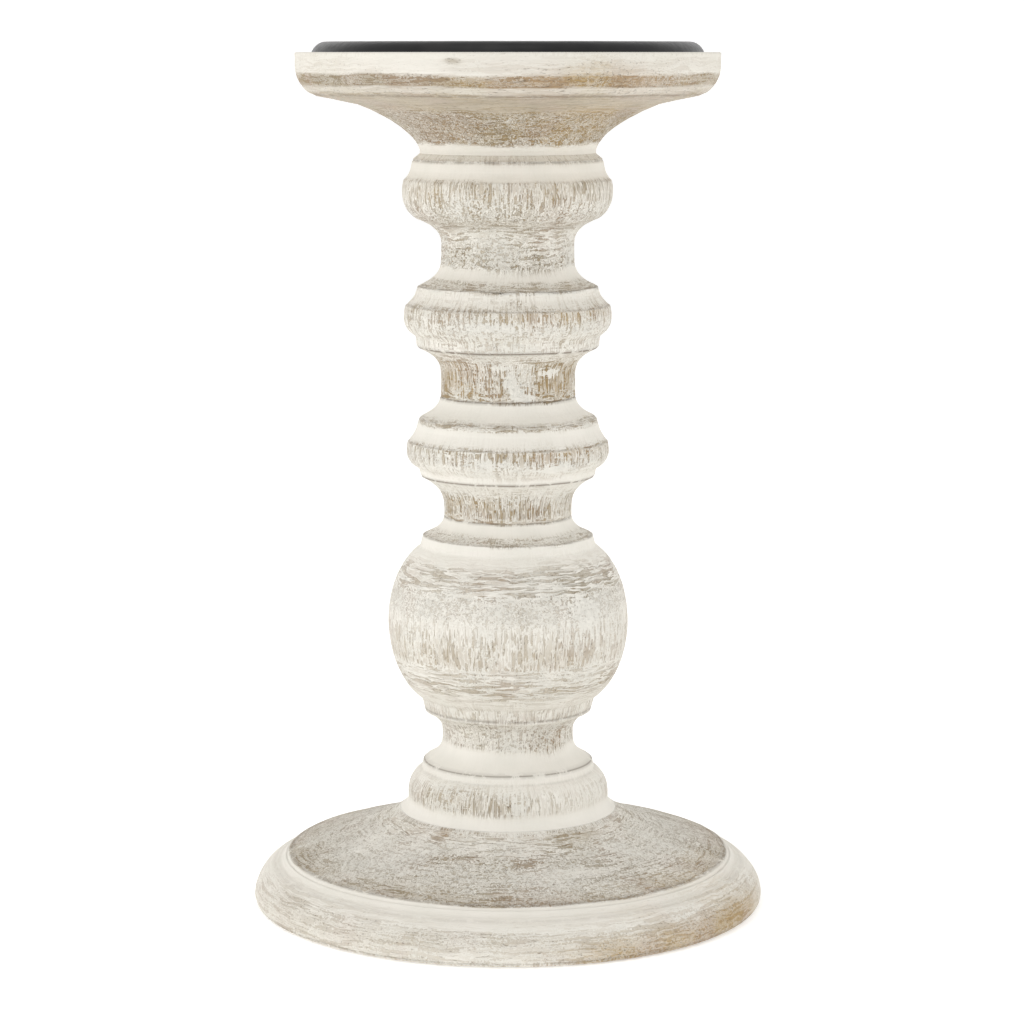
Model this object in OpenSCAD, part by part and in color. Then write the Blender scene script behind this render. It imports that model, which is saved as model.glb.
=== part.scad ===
// Turned wooden pillar candlestick: a base disc, a beaded stem and a cup, turned as three
// pieces and drawn together by two hidden screws, with a pressed steel pan for the candle.
// Millimetres. +Z is up, and the origin is the middle of the underside, on the table.

/* [Base] */
// Largest radius of the base disc
base_r = 76; // [70:1:95]
// Height of the base disc's wood
base_h = 27.5; // [24:0.5:34]

/* [Stem] */
// Height of the stem between the base and the cup
stem_h = 194.5; // [160:0.5:240]
// Largest radius of the ball in the stem
ball_r = 35.8; // [33:0.1:40]

/* [Cup] */
// Largest radius of the cup
cup_r = 61.8; // [61:0.1:72]
// Height of the cup's wood
cup_h = 29; // [27:0.5:36]

/* [Candle pan] */
// Radius of the pan's rolled lip, where it lands on the wood
lip_r = 56.7; // [56:0.1:59]
// How far the rolled lip stands above the wood
lip_h = 3; // [2.5:0.1:4]
// Inner radius of the pan's upright wall
pan_r = 49; // [44:0.5:50]
// Depth of the pan's floor below the top of the wood
pan_deep = 5.5; // [4.5:0.5:6]
// Thickness of the pan's steel sheet
sheet = 1; // [0.8:0.1:1.2]

/* [Felt] */
// Radius of the felt disc under the base
felt_r = 66; // [50:0.5:66]
// Thickness of the felt
felt_h = 2; // [1.5:0.1:3]
// How far the felt stands out of its recess
felt_proud = 0.5; // [0.3:0.1:1]

/* [Screws] */
// Thread radius of the long screw through the base
base_screw_r = 2.75; // [2.5:0.05:3]
// Length of the long screw under its head
base_screw_len = 70; // [55:1:80]
// Thread radius of the screw through the cup
cup_screw_r = 2.4; // [2:0.05:2.6]
// Length of the cup's screw under its head
cup_screw_len = 45; // [35:1:55]
// Number of small screws that hold the pan
pan_screw_count = 3; // [2:1:4]
// Radius of the circle that the pan's screws stand on
pan_screw_circle = 35; // [25:1:35]

/* [Hidden] */
$fn = 96;

// Heights of the pieces above the table
base_z = felt_proud;
stem_z = base_z + base_h;
cup_z = stem_z + stem_h;

// Ways in which an outline runs at a mark on the turner's story stick
EDGE = 0;
CREST = 1;
NECK = 2;
SHELF = 3;
// How far round its quarter an arc is taken, where 1 is the whole quarter
roundness = 0.9;
steps = 9;

// Story sticks: height and radius at nominal size, the way the outline runs there, and on
// some edges how far the stretch that leads to it bows outwards
base_stick = [
    [0, 74.6, EDGE],
    [2.2, 76, CREST],
    [12.3, 68.8, EDGE],
    [12.1, 68.5, EDGE],
    [13.9, 66.7, EDGE],
    [13.7, 66.3, EDGE],
    [14.5, 66.1, EDGE],
    [15, 65.5, EDGE],
    [27.5, 32.2, EDGE, -3.5]
];
stem_stick = [
    // foot bead and the cove above it
    [0, 32.2, EDGE],
    [4, 30, NECK],
    [5, 30, CREST],
    [12, 26.4, EDGE],
    [12.6, 25.8, EDGE],
    [14.8, 25.3, EDGE],
    [22.5, 19.6, NECK],
    [29.8, 24.8, EDGE],
    // ball between its two collars
    [30.5, 25, EDGE],
    [34, 25.9, EDGE],
    [34.5, 26.7, EDGE],
    [57, 35.8, CREST],
    [79, 26.6, EDGE],
    [79.5, 26.1, EDGE],
    [82.6, 25.3, EDGE],
    [89.5, 19, NECK],
    // lower bead
    [99.7, 25.3, EDGE],
    [100, 25.9, EDGE],
    [102.2, 26.3, EDGE],
    [102.7, 26.8, EDGE],
    [107.3, 29.9, CREST],
    [110.4, 29.6, EDGE],
    [110.8, 29.2, EDGE],
    [114.3, 27.1, EDGE, -0.2],
    [117.5, 26.2, EDGE],
    [125.5, 19.9, NECK],
    [129.5, 19.9, NECK],
    // middle bead
    [137.7, 26.1, EDGE],
    [138, 26.8, EDGE],
    [141.2, 27.2, EDGE],
    [141.7, 27.6, EDGE],
    [146.8, 30.6, CREST],
    [150.4, 30.1, EDGE],
    [150.8, 29.6, EDGE],
    [153.5, 27.3, EDGE, -0.2],
    [156.1, 26.5, EDGE],
    [164.5, 19.7, NECK],
    [167.5, 19.6, NECK],
    // upper bead
    [175.4, 26.6, EDGE],
    [183.3, 30.9, CREST],
    [186.9, 30.4, EDGE],
    [187.3, 29.9, EDGE],
    [189.8, 28.5, EDGE, -0.2],
    [192.9, 27.8, EDGE],
    [194.5, 25.6, EDGE]
];
cup_stick = [
    [0, 25.6, EDGE],
    [1, 25.8, EDGE],
    [14, 44, EDGE, -3.4],
    [16.5, 56.2, EDGE],
    [16.9, 57, EDGE],
    [25, 61.8, CREST],
    [28.6, 61.7, EDGE],
    [29, 61.3, EDGE]
];

// Tenons of the stem and their sockets
foot_tenon_r = 15;
foot_tenon_h = 13.5;
head_tenon_r = 12.5;
head_tenon_h = 12;
glue_gap = 0.5;
slip = 0.05;

// Screw heads, washers and the counterbores that they sit in
base_head_r = 5.5;
base_head_h = 3.2;
base_bore_r = 10;
base_bore_h = 6;
cup_head_r = 4.6;
cup_head_h = 2.8;
cup_bore_r = 9;
cup_bore_h = 5;
washer_h = 1.4;
washer_rim = 3;
shank_gap = 0.4;
thread_gap = 0.02;
thread_depth = 0.7;
pitch = 2.4;
pan_screw_r = 1.45;
pan_screw_len = 10;
pan_head_r = 2.8;
pan_head_h = 1.7;
pan_head_sunk = 0.15;

// Places in the base and the cup that more than one piece depends on
felt_recess = felt_h - felt_proud;
base_seat_z = felt_recess + base_bore_h;
pan_floor_z = cup_h - pan_deep;
pan_under_z = pan_floor_z - sheet;
cup_seat_z = pan_under_z - cup_bore_h;
pan_recess_r = pan_r + sheet + 0.4;
pan_corner = 4;
lip_top_r = pan_r + sheet + 2.5;

// Fall of an arc at a share t of its way along, from 0 to 1
function fall(t) = (1 - sqrt(1 - pow(roundness * t, 2))) / (1 - sqrt(1 - pow(roundness, 2)));

// Even steps round an arc, as shares of its way along
function along(t) = sin(asin(roundness) * t) / roundness;

// Point at a share t of the stretch from mark a to mark b, where a is not an edge
function on_curve(a, b, t) =
    a[2] == CREST ? [
        a[1] + (b[1] - a[1]) * fall(along(t)),
        a[0] + (b[0] - a[0]) * along(t)
    ] :
    a[2] == SHELF ? [
        a[1] + (b[1] - a[1]) * along(t),
        a[0] + (b[0] - a[0]) * fall(along(t))
    ] : [
        a[1] + (b[1] - a[1]) * pow(t, 3),
        a[0] + (b[0] - a[0]) * t
    ];

// Point at a share t of the straight or bowed stretch between two edges
function on_line(a, b, t) = [
    a[1] + (b[1] - a[1]) * t + (len(b) > 3 ? b[3] : 0) * 4 * t * (1 - t),
    a[0] + (b[0] - a[0]) * t
];

// Points of one stretch of a stick, without its first point
function stretch(a, b) =
    a[2] == EDGE && b[2] == EDGE
        ? (len(b) > 3 ? [for (i = [1 : steps]) on_line(a, b, i / steps)] : [[b[1], b[0]]])
        : a[2] != EDGE && b[2] != EDGE
            ? [[b[1], b[0]]]
            : a[2] != EDGE
                ? [for (i = [1 : steps]) on_curve(a, b, i / steps)]
                : [for (i = [1 : steps]) on_curve(b, a, 1 - i / steps)];

// Outline of a stick, stretched to the height and girth wanted
function outline(stick, high = 1, wide = 1) = concat(
    [[stick[0][1] * wide, stick[0][0] * high]],
    [
        for (i = [1 : len(stick) - 1])
            for (p = stretch(stick[i - 1], stick[i])) [p[0] * wide, p[1] * high]
    ]
);

// Solid turned to an outline that starts at its foot and ends at its head
module turned(points) {
    foot = points[0][1];
    head = points[len(points) - 1][1];
    rotate_extrude() polygon(concat([[0, foot]], points, [[0, head]]));
}

// Screw with its seat at the origin and its point up: a domed head, a plain neck and
// a thread drawn as rings, with a cross recess in the head
module wood_screw(r, length, head_r, head_h) {
    core = r - thread_depth;
    plain = length * 0.3;
    tip = 3 * r;
    turns = floor((length - plain - tip) / pitch);
    rings = [
        for (i = [0 : turns - 1])
            each [
                [core, plain + i * pitch],
                [r, plain + (i + 0.5) * pitch],
                [core, plain + (i + 0.8) * pitch]
            ]
    ];
    difference() {
        rotate_extrude() polygon(concat(
            [[0, -head_h], [head_r * 0.55, -head_h], [head_r * 0.85, -head_h * 0.75]],
            [[head_r, -head_h * 0.35], [head_r, 0], [r, 0], [r, plain - r]],
            rings,
            [[core, length - tip], [0, length]]
        ));
        for (turn = [0, 90])
            rotate([0, 0, turn])
                translate([-head_r * 0.5, -head_r * 0.09, -head_h - 1])
                    cube([head_r, head_r * 0.18, 1 + head_h * 0.6]);
    }
}

// Washer with its lower face at the origin
module washer(hole_r, rim_r) {
    difference() {
        cylinder(r = rim_r, h = washer_h);
        translate([0, 0, -1])
            cylinder(r = hole_r, h = washer_h + 2);
    }
}

// Children placed at each of the pan's screws
module at_pan_screws() {
    for (i = [0 : pan_screw_count - 1])
        rotate([0, 0, 90 + i * 360 / pan_screw_count])
            translate([pan_screw_circle, 0, cup_z + pan_floor_z - pan_head_sunk])
                children();
}

// Solid of a countersunk pan screw, point down from its head's flat top, grown by a gap
module pan_screw_body(gap = 0) {
    rise = gap > 0 ? 1 : 0;
    translate([0, 0, -pan_head_h])
        cylinder(r1 = pan_screw_r + gap, r2 = pan_head_r + gap, h = pan_head_h);
    translate([0, 0, -pan_screw_len - gap])
        cylinder(r = pan_screw_r + gap, h = pan_screw_len - pan_head_h + 2 * gap);
    if (rise > 0)
        cylinder(r = pan_head_r + gap, h = rise);
}

// Base disc: rounded rim, sunk bead, hollow dome and the socket for the stem
module base() {
    color([0.86, 0.83, 0.77])
        translate([0, 0, base_z])
            difference() {
                turned(outline(base_stick, base_h / 27.5, base_r / 76));
                translate([0, 0, -1])
                    cylinder(r = felt_r + glue_gap, h = 1 + felt_recess);
                translate([0, 0, -1])
                    cylinder(r = base_bore_r, h = 1 + base_seat_z);
                cylinder(r = base_screw_r + shank_gap, h = base_h);
                translate([0, 0, base_h - foot_tenon_h - glue_gap])
                    cylinder(r = foot_tenon_r + slip, h = base_h);
            }
}

// Stem: foot bead, ball and three beads, with a round tenon at each end
module stem() {
    screw_top = felt_recess + base_bore_h - washer_h + base_screw_len - base_h;
    screw_low = stem_h + cup_seat_z + washer_h - cup_screw_len;
    color([0.88, 0.85, 0.79])
        translate([0, 0, stem_z])
            difference() {
                union() {
                    turned(outline(stem_stick, stem_h / 194.5, ball_r / 35.8));
                    translate([0, 0, -foot_tenon_h])
                        cylinder(r = foot_tenon_r, h = foot_tenon_h + 1);
                    translate([0, 0, stem_h - 1])
                        cylinder(r = head_tenon_r, h = head_tenon_h + 1);
                }
                translate([0, 0, -foot_tenon_h - 1])
                    cylinder(r = base_screw_r + thread_gap, h = foot_tenon_h + 1 + screw_top + glue_gap);
                translate([0, 0, screw_low - glue_gap])
                    cylinder(r = cup_screw_r + thread_gap, h = stem_h);
            }
}

// Cup: rounded rim over a hollow flare, recessed for the pan and socketed for the stem
module cup() {
    color([0.85, 0.81, 0.74])
        difference() {
            translate([0, 0, cup_z])
                difference() {
                    turned(outline(cup_stick, cup_h / 29, cup_r / 61.8));
                    translate([0, 0, -1])
                        cylinder(r = head_tenon_r + slip, h = 1 + head_tenon_h + glue_gap);
                    cylinder(r = cup_screw_r + shank_gap, h = cup_h);
                    translate([0, 0, cup_seat_z])
                        cylinder(r = cup_bore_r, h = cup_h);
                    translate([0, 0, pan_under_z])
                        cylinder(r = pan_recess_r, h = cup_h);
                }
            at_pan_screws() pan_screw_body(thread_gap);
        }
}

// Candle pan: flat floor, rounded corner, upright wall and a lip rolled over the wood
module candle_pan() {
    mouth = cup_h + lip_h;
    corner = [for (a = [0 : 15 : 90]) [sin(a), -cos(a)]];
    inside = [
        for (c = corner)
            [pan_r - pan_corner + pan_corner * c[0], pan_floor_z + pan_corner + pan_corner * c[1]]
    ];
    outside = [
        for (i = [len(corner) - 1 : -1 : 0])
            [
                pan_r - pan_corner + (pan_corner + sheet) * corner[i][0],
                pan_floor_z + pan_corner + (pan_corner + sheet) * corner[i][1]
            ]
    ];
    upper_lip = concat(
        stretch([cup_h, pan_r, EDGE], [mouth, lip_top_r, SHELF]),
        stretch([mouth, lip_top_r, SHELF], [cup_h, lip_r, EDGE])
    );
    lower_lip = concat(
        stretch([cup_h, lip_r - sheet, EDGE], [mouth - sheet, lip_top_r, SHELF]),
        stretch([mouth - sheet, lip_top_r, SHELF], [cup_h, pan_r + sheet, EDGE])
    );
    color([0.09, 0.09, 0.09])
        difference() {
            translate([0, 0, cup_z])
                rotate_extrude() polygon(concat(
                    [[0, pan_floor_z]],
                    inside,
                    [[pan_r, cup_h]],
                    upper_lip,
                    [[lip_r - sheet, cup_h]],
                    lower_lip,
                    outside,
                    [[0, pan_under_z]]
                ));
            at_pan_screws() pan_screw_body(thread_gap);
        }
}

// Felt disc glued into the recess under the base
module felt_disc() {
    color([0.16, 0.2, 0.16])
        cylinder(r = felt_r, h = felt_h);
}

// Long wood screw that draws the base up to the stem
module base_screw() {
    color([0.62, 0.62, 0.6])
        translate([0, 0, base_z + base_seat_z - washer_h])
            wood_screw(base_screw_r, base_screw_len, base_head_r, base_head_h);
}

// Washer under the head of the base screw
module base_washer() {
    color([0.68, 0.68, 0.66])
        translate([0, 0, base_z + base_seat_z - washer_h])
            washer(base_screw_r + shank_gap / 2, base_head_r + washer_rim);
}

// Wood screw that draws the cup down to the stem
module cup_screw() {
    color([0.62, 0.62, 0.6])
        translate([0, 0, cup_z + cup_seat_z + washer_h])
            rotate([180, 0, 0])
                wood_screw(cup_screw_r, cup_screw_len, cup_head_r, cup_head_h);
}

// Washer under the head of the cup screw
module cup_washer() {
    color([0.68, 0.68, 0.66])
        translate([0, 0, cup_z + cup_seat_z])
            washer(cup_screw_r + shank_gap / 2, cup_head_r + washer_rim);
}

// Small countersunk screws that hold the pan's floor to the cup
module pan_screws() {
    color([0.13, 0.13, 0.13])
        at_pan_screws()
            difference() {
                pan_screw_body();
                for (turn = [0, 90])
                    rotate([0, 0, turn])
                        translate([-pan_head_r * 0.5, -pan_head_r * 0.09, -pan_head_h * 0.5])
                            cube([pan_head_r, pan_head_r * 0.18, pan_head_h]);
            }
}

base();
stem();
cup();
candle_pan();
felt_disc();
base_screw();
base_washer();
cup_screw();
cup_washer();
pan_screws();
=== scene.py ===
"""Whitewashed turned-wood candlestick: the visual model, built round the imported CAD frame.

The three wooden pieces are turned from the same story sticks as the CAD, the pan and the screws are pressed
and cut as a maker would, and every finish is a node material that reads Object coordinates or an attribute.
"""

import logging
import math
from dataclasses import dataclass, field
from enum import Enum
from typing import Callable, Iterable, Sequence

import bmesh
import bpy
import numpy as np
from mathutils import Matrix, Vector


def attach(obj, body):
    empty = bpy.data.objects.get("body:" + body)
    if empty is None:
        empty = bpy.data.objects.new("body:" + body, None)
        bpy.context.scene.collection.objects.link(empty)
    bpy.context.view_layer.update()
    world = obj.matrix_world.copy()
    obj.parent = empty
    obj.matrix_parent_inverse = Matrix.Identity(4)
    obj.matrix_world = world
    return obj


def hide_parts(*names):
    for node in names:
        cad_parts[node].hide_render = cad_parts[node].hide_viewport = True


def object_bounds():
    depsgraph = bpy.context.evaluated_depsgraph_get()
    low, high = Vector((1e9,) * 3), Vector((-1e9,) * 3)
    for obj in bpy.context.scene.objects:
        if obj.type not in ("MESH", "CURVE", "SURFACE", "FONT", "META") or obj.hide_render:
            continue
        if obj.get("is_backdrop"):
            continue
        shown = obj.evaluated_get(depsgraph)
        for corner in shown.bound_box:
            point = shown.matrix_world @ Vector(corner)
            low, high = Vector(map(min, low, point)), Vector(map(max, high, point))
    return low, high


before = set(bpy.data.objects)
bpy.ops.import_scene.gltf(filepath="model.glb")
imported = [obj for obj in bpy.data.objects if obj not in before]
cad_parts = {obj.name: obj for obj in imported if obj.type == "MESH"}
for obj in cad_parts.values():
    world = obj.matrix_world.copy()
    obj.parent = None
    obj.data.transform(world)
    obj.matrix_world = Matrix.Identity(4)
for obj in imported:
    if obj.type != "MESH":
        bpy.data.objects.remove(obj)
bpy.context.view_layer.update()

LOG = logging.getLogger("candlestick")
MM = 0.001
ROUNDNESS = 0.9
EDGE_GAP = 0.3  # from an edge to the nearest point of the outline, in millimetres
WELD_GAP = 2e-6  # in metres
WEIGHT_LEVELS = 32
SHARP_EDGE = math.radians(35)
CARVE_FADE = 1.5  # height over which the carving fades out at a joint, in millimetres

Point = tuple[float, float]
Colour = tuple[float, float, float]
Socket = bpy.types.NodeSocket
Piece = bpy.types.Object


class Runs(Enum):
    """How an outline runs at a mark on the story stick."""

    EDGE = "edge"
    CREST = "crest"
    NECK = "neck"
    SHELF = "shelf"


@dataclass(frozen=True)
class Mark:
    """One mark on a turner's story stick, in millimetres above the piece's own foot."""

    height: float
    radius: float
    runs: Runs = Runs.EDGE
    bow: float = 0.0


def fall(share: float) -> float:
    """Fall of a turned arc at a share of its way along, from 0 to 1."""
    full = 1 - math.sqrt(1 - ROUNDNESS**2)
    return (1 - math.sqrt(1 - (ROUNDNESS * share) ** 2)) / full


def along(share: float) -> float:
    """Even steps round an arc, as shares of its way along."""
    return math.sin(math.asin(ROUNDNESS) * share) / ROUNDNESS


def point_between(start: Mark, end: Mark, share: float) -> Point:
    """A point of the outline between two marks.

    Args:
        start: The lower mark.
        end: The upper mark.
        share: How far along the stretch the point lies, from 0 to 1.

    Returns:
        The point's radius and height in millimetres.
    """
    both_edges = start.runs is Runs.EDGE and end.runs is Runs.EDGE
    both_curved = start.runs is not Runs.EDGE and end.runs is not Runs.EDGE
    if both_edges or both_curved:
        swell = end.bow * 4 * share * (1 - share)
        radius = start.radius + (end.radius - start.radius) * share + swell
        return radius, start.height + (end.height - start.height) * share
    if start.runs is Runs.EDGE:
        return point_between(end, start, 1 - share)
    across, up = share**3, share
    if start.runs is Runs.CREST:
        across, up = fall(along(share)), along(share)
    if start.runs is Runs.SHELF:
        across, up = along(share), fall(along(share))
    radius = start.radius + (end.radius - start.radius) * across
    return radius, start.height + (end.height - start.height) * up


def outline(stick: Sequence[Mark], spacing: float) -> list[Point]:
    """Points along a whole stick, close together, with a tight pair at each mark that keeps its edge crisp.

    Args:
        stick: The marks, from the foot up.
        spacing: The wanted distance between points, in millimetres.

    Returns:
        Radius and height of each point, in millimetres.
    """
    points = [(stick[0].radius, stick[0].height)]
    for start, end in zip(stick[:-1], stick[1:]):
        length = math.hypot(end.radius - start.radius, end.height - start.height)
        shares = [1.0]
        if length > 2.5 * EDGE_GAP:
            near = EDGE_GAP / length
            count = max(1, round((length - 2 * EDGE_GAP) / spacing))
            shares = [near + (1 - 2 * near) * i / count for i in range(count + 1)] + [1.0]
        points += [point_between(start, end, s) for s in shares]
    return points


class Tools:
    """Bench tools: the bpy.ops calls that the pieces are modelled with."""

    @staticmethod
    def deselect() -> None:
        """Leaves nothing selected."""
        bpy.ops.object.select_all(action="DESELECT")

    @staticmethod
    def take(piece: Piece) -> Piece:
        """Makes one piece the only selected and active one.

        Args:
            piece: The piece to select.

        Returns:
            The same piece.
        """
        Tools.deselect()
        piece.select_set(True)
        bpy.context.view_layer.objects.active = piece
        return piece

    @staticmethod
    def name(piece: Piece, name: str) -> Piece:
        """Names a piece and its mesh.

        Args:
            piece: The piece.
            name: Its new name.

        Returns:
            The same piece.
        """
        piece.name = name
        piece.data.name = name
        return piece

    @staticmethod
    def settle(piece: Piece) -> Piece:
        """Moves a piece's place into its mesh, so its object stands at the origin, unturned and unscaled.

        Args:
            piece: A piece with a place, turn or scale of its own.

        Returns:
            The same piece.
        """
        Tools.take(piece)
        bpy.ops.object.transform_apply(location=True, rotation=True, scale=True)
        return piece

    @staticmethod
    def turn(name: str, points: Sequence[Point], steps: int, lift: float = 0.0) -> Piece:
        """Turns an outline round the Z axis into a closed solid.

        Args:
            name: The new piece's name.
            points: Radius and height of the outline in millimetres, from the axis to the axis or as a closed loop.
            steps: How many faces stand round the axis.
            lift: Height of the outline's zero above the table, in millimetres.

        Returns:
            The turned piece.
        """
        Tools.deselect()
        radius, height = points[0]
        bpy.ops.mesh.primitive_circle_add(vertices=3, radius=MM)
        piece = Tools.name(bpy.context.object, name)
        bpy.ops.object.mode_set(mode="EDIT")
        mesh = bmesh.from_edit_mesh(piece.data)
        mesh.verts.ensure_lookup_table()
        for vertex in mesh.verts:
            vertex.select = vertex.index > 0
        mesh.select_flush_mode()
        bmesh.update_edit_mesh(piece.data)
        bpy.ops.mesh.delete(type="VERT")
        bpy.ops.mesh.select_all(action="SELECT")
        mesh = bmesh.from_edit_mesh(piece.data)
        mesh.verts.ensure_lookup_table()
        start = mesh.verts[0].co.copy()
        first = Vector((radius * MM, 0, (height + lift) * MM))
        bpy.ops.transform.translate(value=first - start)
        for (r0, h0), (r1, h1) in zip(points[:-1], points[1:]):
            step = ((r1 - r0) * MM, 0, (h1 - h0) * MM)
            bpy.ops.mesh.extrude_region_move(TRANSFORM_OT_translate={"value": step})
        bpy.ops.mesh.select_all(action="SELECT")
        bpy.ops.mesh.spin(steps=steps, angle=2 * math.pi, center=(0, 0, 0), axis=(0, 0, 1))
        bpy.ops.mesh.select_all(action="SELECT")
        bpy.ops.mesh.remove_doubles(threshold=WELD_GAP)
        bpy.ops.mesh.normals_make_consistent(inside=False)
        bpy.ops.object.mode_set(mode="OBJECT")
        Tools.settle(piece)
        bpy.ops.object.shade_smooth()
        return piece

    @staticmethod
    def cut(piece: Piece, cutter: Piece) -> None:
        """Cuts one piece's shape out of another and removes the cutter.

        Args:
            piece: The piece that is cut.
            cutter: The shape that is cut away.
        """
        Tools.take(piece)
        bpy.ops.object.modifier_add(type="BOOLEAN")
        shape = piece.modifiers[-1]
        shape.operation = "DIFFERENCE"
        shape.solver = "EXACT"
        shape.object = cutter
        bpy.ops.object.modifier_apply(modifier=shape.name)
        Tools.take(cutter)
        bpy.ops.object.delete()
        Tools.take(piece)

    @staticmethod
    def weigh(piece: Piece, group: str, rule: Callable[[np.ndarray], np.ndarray]) -> None:
        """Gives a vertex group a weight at each vertex.

        Args:
            piece: The piece to mark.
            group: The group's name.
            rule: Takes the vertices' places in millimetres and returns their weights, from 0 to 1.
        """
        places = np.zeros(len(piece.data.vertices) * 3)
        piece.data.vertices.foreach_get("co", places)
        weights = np.clip(rule(places.reshape(-1, 3) / MM), 0, 1)
        made = piece.vertex_groups.new(name=group)
        levels = np.round(weights * WEIGHT_LEVELS).astype(int)
        for level in range(1, WEIGHT_LEVELS + 1):
            chosen = np.nonzero(levels == level)[0].tolist()
            if chosen:
                made.add(chosen, level / WEIGHT_LEVELS, "REPLACE")

    @staticmethod
    def carve(
        piece: Piece,
        group: str,
        size: float,
        stretch: tuple[float, float, float],
        depth: float,
        hard: bool = False,
    ) -> None:
        """Carves a cloudy relief into a piece and applies it.

        Args:
            piece: The piece to carve.
            group: The vertex group that says where.
            size: The relief's grain size in millimetres.
            stretch: How many times longer the grain is along X, Y and Z.
            depth: The relief's whole height in millimetres.
            hard: True for a creased relief, False for a soft one.
        """
        Tools.deselect()
        bpy.ops.object.empty_add(location=(0, 0, 0))
        guide = bpy.context.object
        guide.scale = stretch
        texture = bpy.data.textures.new("relief", "CLOUDS")
        texture.noise_scale = size * MM
        texture.noise_depth = 2
        texture.noise_type = "HARD_NOISE" if hard else "SOFT_NOISE"
        Tools.take(piece)
        bpy.ops.object.modifier_add(type="DISPLACE")
        shape = piece.modifiers[-1]
        shape.texture = texture
        shape.texture_coords = "OBJECT"
        shape.texture_coords_object = guide
        shape.vertex_group = group
        shape.strength = depth * MM
        shape.mid_level = 0.75
        bpy.context.view_layer.update()
        bpy.ops.object.modifier_apply(modifier=shape.name)
        Tools.take(guide)
        bpy.ops.object.delete()
        bpy.data.textures.remove(texture)


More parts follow.
